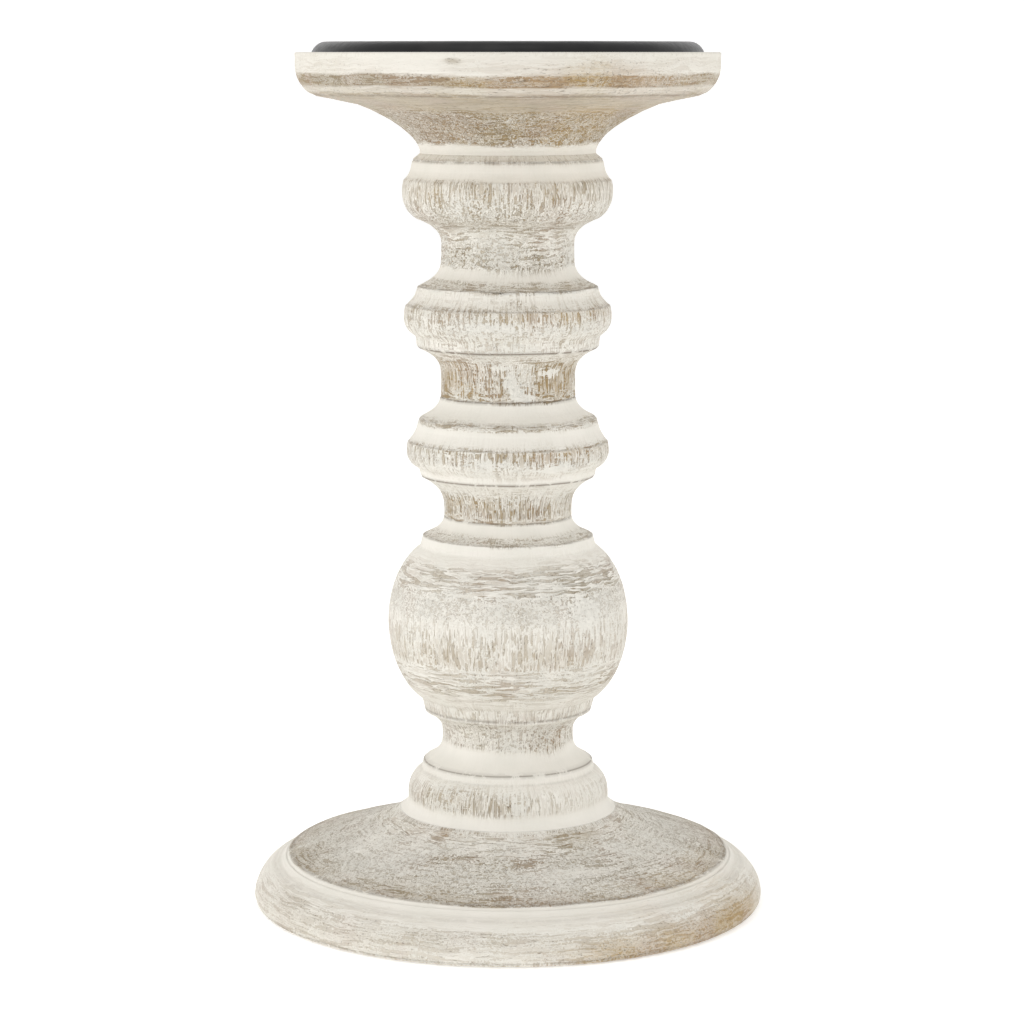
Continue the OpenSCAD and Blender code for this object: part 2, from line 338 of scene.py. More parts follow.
class Graph:
    """A material's node tree, with one short method for each kind of node that the finishes use."""

    def __init__(self, name: str) -> None:
        """Makes an empty material with its output and shader.

        Args:
            name: The material's name.
        """
        self.material = bpy.data.materials.new(name)
        self.material.use_nodes = True
        self.tree = self.material.node_tree
        self.tree.nodes.clear()
        self.shader = self.tree.nodes.new("ShaderNodeBsdfPrincipled")
        output = self.tree.nodes.new("ShaderNodeOutputMaterial")
        self.tree.links.new(self.shader.outputs[0], output.inputs["Surface"])

    def put(self, socket: Socket, value: object) -> None:
        """Links a socket to another, or sets its value.

        Args:
            socket: The input socket.
            value: An output socket, or the value to set.
        """
        if isinstance(value, Socket):
            self.tree.links.new(value, socket)
        elif value is not None:
            socket.default_value = value

    def place(self) -> Socket:
        """The point on the surface in millimetres."""
        coordinates = self.tree.nodes.new("ShaderNodeTexCoord")
        return self.vector("SCALE", coordinates.outputs["Object"], scale=1 / MM)

    def vector(self, operation: str, a: object, b: object = None, scale: object = None) -> Socket:
        """A vector sum.

        Args:
            operation: The node's operation.
            a: The first vector.
            b: The second vector, where there is one.
            scale: The factor of a SCALE operation.

        Returns:
            The resulting vector.
        """
        node = self.tree.nodes.new("ShaderNodeVectorMath")
        node.operation = operation
        self.put(node.inputs[0], a)
        self.put(node.inputs[1], b)
        if scale is not None:
            self.put(node.inputs["Scale"], scale)
        return node.outputs["Vector"]

    def math(self, operation: str, a: object, b: object = None, clamp: bool = False) -> Socket:
        """A sum of one or two numbers.

        Args:
            operation: The kind of sum.
            a: Its first number.
            b: Its second number, where it has one.
            clamp: Whether the result is held between 0 and 1.

        Returns:
            The result.
        """
        node = self.tree.nodes.new("ShaderNodeMath")
        node.operation = operation
        node.use_clamp = clamp
        self.put(node.inputs[0], a)
        self.put(node.inputs[1], b)
        return node.outputs[0]

    def plus(self, a: object, b: object, clamp: bool = False) -> Socket:
        """The sum of two values."""
        return self.math("ADD", a, b, clamp)

    def minus(self, a: object, b: object, clamp: bool = False) -> Socket:
        """One value less another."""
        return self.math("SUBTRACT", a, b, clamp)

    def times(self, a: object, b: object) -> Socket:
        """The product of two values."""
        return self.math("MULTIPLY", a, b)

    def split(self, vector: object) -> tuple[Socket, ...]:
        """The three parts of a vector.

        Args:
            vector: The vector.

        Returns:
            Its x, y and z.
        """
        node = self.tree.nodes.new("ShaderNodeSeparateXYZ")
        self.put(node.inputs[0], vector)
        return tuple(node.outputs)

    def join(self, x: object, y: object, z: object) -> Socket:
        """A vector of three numbers.

        Args:
            x: Its first part.
            y: Its second part.
            z: Its third part.

        Returns:
            The vector.
        """
        node = self.tree.nodes.new("ShaderNodeCombineXYZ")
        for socket, value in zip(node.inputs, (x, y, z)):
            self.put(socket, value)
        return node.outputs[0]

    def noise(
        self, vector: object, size: float, detail: float = 2.0, rough: float = 0.5, twist: float = 0.0
    ) -> Socket:
        """Cloudy noise from 0 to 1, about 0.5 on average.

        Args:
            vector: Where it is read, in millimetres.
            size: Size of its largest lumps in millimetres.
            detail: Octaves of finer noise.
            rough: Strength of the finer noise.
            twist: Distortion.

        Returns:
            The noise.
        """
        node = self.tree.nodes.new("ShaderNodeTexNoise")
        self.put(node.inputs["Vector"], vector)
        self.put(node.inputs["Scale"], 1 / size)
        self.put(node.inputs["Detail"], detail)
        self.put(node.inputs["Roughness"], rough)
        self.put(node.inputs["Distortion"], twist)
        return node.outputs[0]

    def window(self, value: object, low: float, high: float, to_low: float = 0.0, to_high: float = 1.0) -> Socket:
        """A smooth step from low to high.

        Args:
            value: The number to map.
            low: Where the step starts.
            high: Where it ends.
            to_low: The result below low.
            to_high: The result above high.

        Returns:
            The mapped number.
        """
        node = self.tree.nodes.new("ShaderNodeMapRange")
        node.interpolation_type = "SMOOTHSTEP"
        for socket, number in zip(node.inputs, (value, low, high, to_low, to_high)):
            self.put(socket, number)
        return node.outputs[0]

    def mix(self, share: object, a: object, b: object) -> Socket:
        """Two colours blended.

        Args:
            share: How much of the second one.
            a: The first colour.
            b: The second colour.

        Returns:
            The blended colour.
        """
        node = self.tree.nodes.new("ShaderNodeMix")
        node.data_type = "RGBA"
        self.put(node.inputs[0], share)
        for socket, value in ((node.inputs[6], a), (node.inputs[7], b)):
            self.put(socket, (*value, 1) if isinstance(value, tuple) else value)
        return node.outputs[2]

    def waver(self, value: object, cloud: object, by: float) -> Socket:
        """A number from 0 to 1 that a cloud shifts up and down."""
        return self.plus(value, self.times(self.minus(cloud, 0.5), by), clamp=True)

    def blend(self, share: object, a: object, b: object) -> Socket:
        """Two numbers blended.

        Args:
            share: How much of the second number is used, from 0 to 1.
            a: The first number.
            b: The second number.

        Returns:
            The blended number.
        """
        node = self.tree.nodes.new("ShaderNodeMix")
        self.put(node.inputs[0], share)
        self.put(node.inputs[2], a)
        self.put(node.inputs[3], b)
        return node.outputs[0]

    def bump(self, height: object, distance: float, strength: float) -> Socket:
        """A bumped normal.

        Args:
            height: The bump's height, from 0 to 1.
            distance: Its whole height in millimetres.
            strength: How much of it is used.

        Returns:
            The normal.
        """
        node = self.tree.nodes.new("ShaderNodeBump")
        node.inputs["Distance"].default_value = distance * MM
        node.inputs["Strength"].default_value = strength
        self.put(node.inputs["Height"], height)
        return node.outputs[0]

    def attribute(self, name: str) -> Socket:
        """A number stored on the mesh.

        Args:
            name: The name of the layer that holds it.

        Returns:
            The number.
        """
        node = self.tree.nodes.new("ShaderNodeAttribute")
        node.attribute_name = name
        return node.outputs["Fac"]


def srgb(red: float, green: float, blue: float) -> Colour:
    """A linear colour from 0 to 255 display values."""
    shares = (c / 255 for c in (red, green, blue))
    return tuple(s / 12.92 if s <= 0.04045 else ((s + 0.055) / 1.055) ** 2.4 for s in shares)


class Grain(Enum):
    """Which way a piece's wood fibres run."""

    UPRIGHT = (1.0, 1.0, 0.11)
    ACROSS = (0.07, 1.0, 1.0)


@dataclass(frozen=True)
class Band:
    """How a turned piece is finished at one height.

    wash is how much white is left, warm how golden the wood is under it, rings how far the brush marks run round
    the piece rather than up it, speck how far they break into specks, and marks how strongly they show.
    """

    height: float
    wash: float
    warm: float = 0.4
    rings: float = 0.0
    speck: float = 0.2
    marks: float = 1.0


@dataclass(frozen=True)
class Rub:
    """A hand-rubbed spot: where it is, how far it reaches and what it does to the wash and the warmth."""

    angle: float
    height: float
    wide: float
    high: float
    wash: float
    warm: float = 0.0


@dataclass(frozen=True)
class Groove:
    """A thin line cut by the corner of a tool, darkened with grime and painted shade in its crease."""

    height: float
    depth: float
    # how dark the line is: grime and painted shade together
    grime_and_shade: float
    half_width: float = 0.3


@dataclass(frozen=True)
class Whitewash:
    """Chalky white wash, rubbed back to the wood on the crests and left thick in the hollows."""

    name: str
    grain: Grain
    bands: tuple[Band, ...]
    grooves: tuple[Groove, ...]
    rubs: tuple[Rub, ...]
    daubs: tuple[Rub, ...] = ()
    girth: float = 30.0
    swirl: float = 0.1
    brush_width: float = 0.7
    brush_share: float = 0.13
    ring_width: float = 0.8
    crackle_width: float = 1.0
    sway_width: float = 7.0
    broad_width: float = 5.5
    blotch_width: float = 11.0
    rosy_width: float = 17.0
    smear_width: float = 3.4
    ragged_width: float = 1.6
    # size of the breaks in the grooves' grime and painted shade
    groove_break_width: float = 4.0
    fibre_width: float = 0.6
    pore_width: float = 0.42
    ridge_gain: float = 0.34
    curl_gain: float = 0.32
    # how much the painted shadow beside each ridge darkens the wash; the same line is also a dip in the bump
    dip_and_shadow_loss: float = 0.34
    gap_loss: float = 0.22
    patch_gain: float = 0.6
    relief: float = 0.2
    relief_strength: float = 0.8
    paint: Colour = srgb(236, 232, 223)
    cool_wood: Colour = srgb(150, 135, 108)
    warm_wood: Colour = srgb(172, 145, 99)
    rosy_wood: Colour = srgb(164, 139, 117)
    # dark colour of the wood's fibres and pores, and of the grime and painted shade in the grooves
    grime_and_shade: Colour = srgb(108, 94, 78)

    def layers(self, places: np.ndarray, lift: float) -> dict[str, np.ndarray]:
        """How the finish lies at each vertex.

        Args:
            places: The vertices' places in millimetres.
            lift: Height of the piece's foot above the table, in millimetres.

        Returns:
            One array of numbers for each layer.
        """
        angle = np.arctan2(places[:, 0], -places[:, 1])
        height = places[:, 2] - lift
        waver = 0.5 * np.sin(3 * angle + 0.8) + 0.3 * np.sin(8 * angle + 2.1) + 0.2 * np.sin(17 * angle + 4.0)
        marks = [b.height for b in self.bands]
        found = {
            name: np.interp(height + 0.45 * waver, marks, [getattr(b, name) for b in self.bands])
            for name in ("wash", "warm", "rings", "speck", "marks")
        }
        for rub in self.rubs:
            turn = (angle - math.radians(rub.angle) + math.pi) % (2 * math.pi) - math.pi
            across = turn * self.girth / rub.wide
            up = (height - rub.height + 0.6 * waver) / rub.high
            hold = 1 / (1 + np.hypot(across, up) ** 5)
            found["wash"] += rub.wash * hold
            found["warm"] += rub.warm * hold
        found["daub"] = np.zeros(len(places))
        for daub in self.daubs:
            turn = (angle - math.radians(daub.angle) + math.pi) % (2 * math.pi) - math.pi
            span = np.hypot(turn * self.girth / daub.wide, (height - daub.height) / daub.high)
            found["daub"] = np.maximum(found["daub"], np.clip(1.15 - 0.65 * span, 0, 1) * daub.wash)
        # Each groove gets a dark line: grime together with painted shade in its crease.
        found["grime_and_shade"] = np.zeros(len(places))
        for groove in self.grooves:
            near = np.clip(1.3 - np.abs(height - groove.height) / groove.half_width, 0, 1)
            found["grime_and_shade"] = np.maximum(found["grime_and_shade"], groove.grime_and_shade * near)
        return found

    def pore_grain(self) -> tuple[float, float, float]:
        """Stretch of the wood's pores, shorter than the grain itself."""
        return tuple(min(1.0, share * 3) for share in self.grain.value)

    def make(self) -> bpy.types.Material:
        """Builds the material.

        Returns:
            The finished material.
        """
        g = Graph(self.name)
        place = g.place()
        x, y, _ = g.split(place)
        wash, warm, rings, speck, marks, grime_and_shade, daub, reach = (
            g.attribute(n) for n in ("wash", "warm", "rings", "speck", "marks", "grime_and_shade", "daub", "reach")
        )
        outward = g.vector("NORMALIZE", g.join(x, y, 0.0))
        around = g.split(g.vector("SCALE", outward, scale=self.girth))
        slow = g.split(g.vector("SCALE", outward, scale=self.girth * self.swirl))
        sway = g.noise(place, self.sway_width)

        brushed = g.join(around[0], around[1], g.times(reach, self.brush_share))
        brush = g.noise(brushed, self.brush_width, 2.0, 0.55, 0.3)
        level = g.plus(reach, g.times(sway, 2.2))
        ring = g.noise(g.join(slow[0], slow[1], level), self.ring_width, 2.0, 0.55, 0.45)
        crackle = g.noise(place, self.crackle_width, 2.0, 0.6, 1.3)
        across = g.vector("MULTIPLY", place, self.grain.value)
        broad = g.noise(across, self.broad_width, 2.0, 0.5, 0.3)
        blotch = g.noise(place, self.blotch_width, 3.0, 0.55)
        stroke = g.blend(g.waver(rings, sway, 0.9), brush, ring)
        stroke = g.blend(g.waver(speck, blotch, 1.3), stroke, crackle)

        thin = g.minus(1.0, wash, clamp=True)
        play = g.times(g.window(thin, 0.02, 0.28, 0.03, 1.0), marks)
        away = g.minus(stroke, 0.5)
        ridge = g.window(g.math("ABSOLUTE", g.minus(away, 0.02)), 0.015, 0.05, 1.0, 0.0)
        # Painted shadow: a thin dark line on one side of each raised ridge, which also dips the bump
        dip_and_shadow = g.window(g.math("ABSOLUTE", g.plus(away, 0.065)), 0.01, 0.045, 1.0, 0.0)
        gap = g.window(stroke, 0.34, 0.46, 1.0, 0.0)
        patchy = g.times(g.minus(g.plus(broad, blotch), 1.0), self.patch_gain)
        smear_place = g.vector("MULTIPLY", place, (0.6, 0.6, 1.5))
        smear = g.math("ABSOLUTE", g.minus(g.noise(smear_place, self.smear_width, 2.0, 0.5, 1.8), 0.5))
        curl = g.times(g.window(smear, 0.004, 0.02, 1.0, 0.0), g.window(blotch, 0.46, 0.56))
        raised = g.plus(g.times(ridge, self.ridge_gain), g.times(curl, self.curl_gain))
        raised = g.minus(raised, g.times(dip_and_shadow, self.dip_and_shadow_loss))
        raised = g.minus(raised, g.times(gap, self.gap_loss))
        cover = g.plus(wash, g.times(g.plus(raised, patchy), play), clamp=True)
        ragged = g.plus(g.times(stroke, 1.6), g.noise(smear_place, self.ragged_width, 3.0, 0.7, 0.8))
        fresh = g.window(g.plus(daub, g.minus(ragged, 1.3)), 0.52, 0.6)
        cover = g.math("MAXIMUM", cover, fresh)

        warmth = g.waver(warm, blotch, 1.3)
        fibre = g.noise(across, self.fibre_width, 2.0, 0.6)
        wood = g.mix(warmth, self.cool_wood, self.warm_wood)
        rosy = g.window(g.noise(place, self.rosy_width), 0.47, 0.6, 0.0, 0.5)
        wood = g.mix(rosy, wood, self.rosy_wood)
        wood = g.mix(g.window(fibre, 0.38, 0.6, 0.3, 0.0), wood, self.grime_and_shade)
        shade = g.window(blotch, 0.35, 0.65)
        tint = g.mix(shade, self.paint, tuple(c * f for c, f in zip(self.paint, (0.955, 0.96, 0.955))))
        colour = g.mix(cover, wood, tint)

        # Grime and painted shade along the grooves, broken up by a cloud.
        broken = g.window(g.noise(place, self.groove_break_width, 4.0, 0.75), 0.41, 0.5, 0.16, 1.0)
        groove_grime_and_shade = g.times(grime_and_shade, broken)
        colour = g.mix(groove_grime_and_shade, colour, self.grime_and_shade)
        pore = g.window(g.noise(g.vector("MULTIPLY", place, self.pore_grain()), self.pore_width, 1.0), 0.64, 0.69)
        pores = g.times(pore, g.window(cover, 0.5, 0.97, 0.6, 0.0))
        colour = g.mix(pores, colour, self.grime_and_shade)
        g.put(g.shader.inputs["Base Color"], colour)
        g.put(g.shader.inputs["Roughness"], g.window(cover, 0.2, 0.9, 0.6, 0.82))
        g.shader.inputs["Specular IOR Level"].default_value = 0.3

        deep = g.plus(raised, g.times(stroke, 0.4))
        relief = g.times(deep, g.math("MAXIMUM", play, 0.08))
        relief = g.plus(relief, g.times(fresh, 0.25))
        relief = g.minus(relief, g.times(g.plus(groove_grime_and_shade, pores), 0.3))
        g.put(g.shader.inputs["Normal"], g.bump(relief, self.relief, self.relief_strength))
        return g.material


@dataclass(frozen=True)
class BlackEnamel:
    """Satin black enamel on pressed steel, with a fine orange peel."""

    name: str = "black_enamel"
    colour: Colour = srgb(17, 17, 18)
    roughness: float = 0.3

    def make(self) -> bpy.types.Material:
        """Builds the material.

        Returns:
            The finished material.
        """
        g = Graph(self.name)
        place = g.place()
        cloud = g.noise(place, 9.0, 3.0)
        g.put(g.shader.inputs["Base Color"], g.mix(g.window(cloud, 0.35, 0.7), self.colour, srgb(31, 30, 30)))
        scuff = g.noise(g.vector("MULTIPLY", place, (0.2, 1.0, 1.0)), 1.4, 3.0, 0.65)
        g.put(g.shader.inputs["Roughness"], g.window(scuff, 0.3, 0.75, self.roughness, self.roughness + 0.14))
        g.shader.inputs["Specular IOR Level"].default_value = 0.32
        g.put(g.shader.inputs["Normal"], g.bump(g.noise(place, 0.8, 2.0), 0.03, 0.5))
        return g.material


@dataclass(frozen=True)
class Steel:
    """Plated steel with fine turning lines and a little dulling."""

    name: str = "zinc_plate"
    colour: Colour = srgb(186, 187, 184)
    roughness: float = 0.32

    def make(self) -> bpy.types.Material:
        """Builds the material.

        Returns:
            The finished material.
        """
        g = Graph(self.name)
        place = g.place()
        cloud = g.noise(place, 3.0, 3.0)
        dull = g.mix(g.window(cloud, 0.35, 0.7), self.colour, tuple(c * 0.62 for c in self.colour))
        g.put(g.shader.inputs["Base Color"], dull)
        g.shader.inputs["Metallic"].default_value = 1.0
        turned = g.noise(g.vector("MULTIPLY", place, (0.3, 0.3, 4.0)), 1.0, 2.0)
        g.put(g.shader.inputs["Roughness"], g.window(turned, 0.3, 0.7, self.roughness, self.roughness + 0.2))
        g.put(g.shader.inputs["Normal"], g.bump(turned, 0.02, 0.4))
        return g.material


@dataclass(frozen=True)
class Felt:
    """Dense wool felt: short tangled fibres, matt and slightly uneven."""

    name: str = "wool_felt"
    colour: Colour = srgb(46, 52, 46)

    def make(self) -> bpy.types.Material:
        """Builds the material.

        Returns:
            The finished material.
        """
        g = Graph(self.name)
        place = g.place()
        drift = g.join(g.noise(place, 3.0), g.noise(place, 3.7), 0.0)
        bent = g.vector("ADD", place, g.vector("SCALE", drift, scale=5.0))
        fibre = g.noise(bent, 0.5, 4.0, 0.75, 1.2)
        cloud = g.noise(place, 8.0, 2.0)
        dark, light = (tuple(c * by for c in self.colour) for by in (0.6, 1.7))
        tone = g.mix(g.window(fibre, 0.3, 0.7), dark, light)
        g.put(g.shader.inputs["Base Color"], g.mix(g.window(cloud, 0.3, 0.7, 0.0, 0.35), tone, self.colour))
        g.shader.inputs["Roughness"].default_value = 0.95
        g.shader.inputs["Sheen Weight"].default_value = 0.4
        g.put(g.shader.inputs["Normal"], g.bump(fibre, 0.25, 0.9))
        return g.material


def finish_piece(piece: Piece, material: bpy.types.Material, slot: str, *nodes: str) -> None:
    """Dresses a piece, rides it on the root body and lets it stand for its CAD nodes.

    Args:
        piece: The finished piece.
        material: Its material.
        slot: Name of a material slot; not used.
        *nodes: The CAD nodes that it replaces.
    """
    piece.data.materials.clear()
    piece.data.materials.append(material)
    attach(piece, "root")
    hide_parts(*nodes)
    LOG.info("%s: %d faces", piece.name, len(piece.data.polygons))


@dataclass
class Turned:
    """A turned wooden piece: its story stick, its hidden bores and its finish."""

    name: str
    node: str
    lift: float
    stick: tuple[Mark, ...]
    before: tuple[Point, ...]
    after: tuple[Point, ...]
    steps: int
    spacing: float
    finish: Whitewash
    grain_depth: float = 0.12
    swell: float = 0.6

    def build(self) -> Piece:
        """Turns the piece, carves its wood and dresses it.

        Returns:
            The finished piece.
        """
        skin = self.skin()
        piece = Tools.turn(self.name, [*self.before, *skin, *self.after], self.steps, self.lift)
        self.carve(piece, self.mark(piece, skin))
        finish_piece(piece, self.finish.make(), "whitewashed_wood", self.node)
        return piece

    def skin(self) -> list[Point]:
        """The outside outline with its grooves cut in.

        Returns:
            Radius and height of each point, in millimetres.
        """
        points = outline(self.stick, self.spacing)
        for groove in self.finish.grooves:
            low, high = groove.height - groove.half_width, groove.height + groove.half_width
            index = next(i for i, (a, b) in enumerate(zip(points[:-1], points[1:])) if a[1] <= groove.height <= b[1])
            cut = []
            for at, depth in ((low, 0.0), (groove.height, groove.depth), (high, 0.0)):
                cut.append((self.radius_at(points, at, index) - depth, at))
            points = [p for i, p in enumerate(points[: index + 1]) if p[1] < low - 0.05 or i < index - 3] + cut + [
                p for i, p in enumerate(points[index + 1 :]) if p[1] > high + 0.05 or i > 3
            ]
        return points

    @staticmethod
    def radius_at(points: Sequence[Point], height: float, index: int) -> float:
        """Radius of an outline at a height, near one of its points.

        Args:
            points: The outline.
            height: Where the radius is read.
            index: The outline's point that the height lies beside.

        Returns:
            The radius, in millimetres.
        """
        near = points[max(0, index - 4) : index + 6]
        rising = [near[0]]
        for point in near[1:]:
            if point[1] > rising[-1][1]:
                rising.append(point)
        return float(np.interp(height, [p[1] for p in rising], [p[0] for p in rising]))

    def mark(self, piece: Piece, skin: Sequence[Point]) -> np.ndarray:
        """Stores on the mesh how the finish lies, and how far along the outline each vertex is.

        Args:
            piece: The turned piece.
            skin: Its outside outline.

        Returns:
            True for each vertex of the outside.
        """
        places = np.zeros(len(piece.data.vertices) * 3)
        piece.data.vertices.foreach_get("co", places)
        places = places.reshape(-1, 3) / MM
        layers = self.finish.layers(places, self.lift)
        profile = np.array(skin)
        lengths = np.concatenate([[0], np.cumsum(np.hypot(*np.diff(profile, axis=0).T))])
        own = np.column_stack([np.hypot(places[:, 0], places[:, 1]), places[:, 2] - self.lift])
        unique, back = np.unique(own.round(3), axis=0, return_inverse=True)
        gaps = np.array([np.hypot(*(profile - u).T) for u in unique])
        layers["reach"] = lengths[gaps.argmin(axis=1)][back.ravel()]
        for name, values in layers.items():
            layer = piece.data.attributes.new(name, "FLOAT", "POINT")
            layer.data.foreach_set("value", values)
        return gaps.min(axis=1)[back.ravel()] < 0.1

    def carve(self, piece: Piece, outside: np.ndarray) -> None:
        """Carves the unevenness, the raised grain and the tool rings of the turned surface.

        Args:
            piece: The turned piece.
            outside: True for each vertex of its outside.
        """
        low, high = self.stick[0].height, self.stick[-1].height
        marks = [b.height for b in self.finish.bands]

        def skin(places: np.ndarray) -> np.ndarray:
            """Weight of the outside surface, fading out at the joint faces."""
            height = places[:, 2] - self.lift
            return outside * np.clip((height - low) / CARVE_FADE, 0, 1) * np.clip((high - height) / CARVE_FADE, 0, 1)

        def crests(places: np.ndarray) -> np.ndarray:
            """Weight of the rubbed places, where the grain stands up."""
            wash = np.interp(places[:, 2] - self.lift, marks, [b.wash for b in self.finish.bands])
            return skin(places) * np.clip((0.95 - wash) / 0.4, 0.05, 1)

        def rings(places: np.ndarray) -> np.ndarray:
            """Weight of the places where the tool left rings."""
            amount = np.interp(places[:, 2] - self.lift, marks, [b.rings for b in self.finish.bands])
            return skin(places) * (0.15 + 0.85 * amount)

        Tools.weigh(piece, "skin", skin)
        Tools.weigh(piece, "crests", crests)
        Tools.weigh(piece, "rings", rings)
        stretch = (1.0, 1.0, 7.0) if self.finish.grain is Grain.UPRIGHT else (9.0, 1.0, 1.0)
        Tools.carve(piece, "skin", 26.0, (1.0, 1.0, 1.0), self.swell)
        Tools.carve(piece, "crests", 1.8, stretch, self.grain_depth, hard=True)
        Tools.carve(piece, "rings", 1.6, (30.0, 30.0, 1.0), 0.14)


BASE_Z = 0.5
STEM_Z = 28.0
CUP_Z = 222.5


BASE_BANDS = (
    Band(0, 0.72, 0.5, 1, 0.4),
    Band(1.5, 0.8, 0.4, 1, 0.4, 0.6),
    Band(4, 0.86, 0.35, 1, 0.3, 0.5),
    Band(7.5, 0.84, 0.3, 1, 0.4, 0.6),
    Band(10, 0.9, 0.3, 1, 0.2, 0.6),
    Band(12, 0.92, 0.3, 1, 0.1, 0.4),
    Band(14.2, 0.94, 0.35, 1, 0.1, 0.4),
    Band(14.8, 0.86, 0.35, 1, 0.3),
    Band(15.05, 0.38, 0.25, 1, 0.6),
    Band(16.5, 0.48, 0.2, 1, 0.6),
    Band(18.5, 0.64, 0.15, 1, 0.7, 1.3),
    Band(22.5, 0.72, 0.1, 1, 0.6, 1.3),
    Band(25.6, 0.62, 0.2, 1, 0.3),
    Band(27, 0.66, 0.2, 1, 0.3),
    Band(27.5, 0.9, 0.3, 1, 0.2),
)
BASE_RUBS = (
    Rub(43, 2.2, 34, 5.2, -0.6, 0.9),
    Rub(66, 6, 18, 4.5, -0.3, 0.3),
    Rub(48, 12.3, 28, 2.2, -0.06, 0.9),
    Rub(-6, 8, 24, 1.6, -0.2, -0.2),
    Rub(-18, 5.2, 16, 1, -0.18, -0.1),
    Rub(-55, 6, 34, 5, -0.2, -0.2),
    Rub(14, 5, 14, 1.4, -0.12, 0),
    Rub(-54, 20.5, 24, 3.8, 0.12, -0.4),
    Rub(-36, 24.5, 9, 2, 0.06, -0.3),
    Rub(64, 20.5, 22, 3.5, 0.1, 0.1),
    Rub(56, 16.5, 26, 1.6, -0.02, 0.5),
    Rub(34, 25.6, 16, 2, -0.22, 0.1),
    Rub(-4, 25, 26, 1.6, 0.08, 0),
    Rub(-10, 21.5, 26, 1.2, -0.16, 0.1),
    Rub(20, 19.5, 18, 1, 0.18, -0.1),
    Rub(-33, 26.3, 4, 1.2, -0.3, 0.8),
)


def make_base() -> Turned:
    """The base disc: rounded rim, sunk bead and hollow dome.

    Returns:
        The piece, ready to build.
    """
    finish = Whitewash(
        name="whitewash_base",
        grain=Grain.ACROSS,
        bands=BASE_BANDS,
        grooves=(Groove(0.9, 0.15, 0.4), Groove(11.7, 0.22, 0.14, 0.4), Groove(15.05, 0.25, 0.45)),
        rubs=BASE_RUBS,
        girth=70.0,
        swirl=0.06,
    )
    return Turned(
        name="base_disc",
        node="base",
        lift=BASE_Z,
        stick=(
            Mark(0, 74.6),
            Mark(2.2, 76, Runs.CREST),
            Mark(12.3, 68.8),
            Mark(12.1, 68.5),
            Mark(13.9, 66.7),
            Mark(13.7, 66.3),
            Mark(14.5, 66.1),
            Mark(15, 65.5),
            Mark(27.5, 32.2, bow=-3.5),
        ),
        before=((3.15, 7.5), (10, 7.5), (10, 1.5), (66.5, 1.5), (66.5, 0.2)),
        after=((24, 27.5), (15.05, 27.5), (15.05, 13.5), (3.15, 13.5), (3.15, 7.5)),
        steps=440,
        spacing=0.62,
        finish=finish,
    )


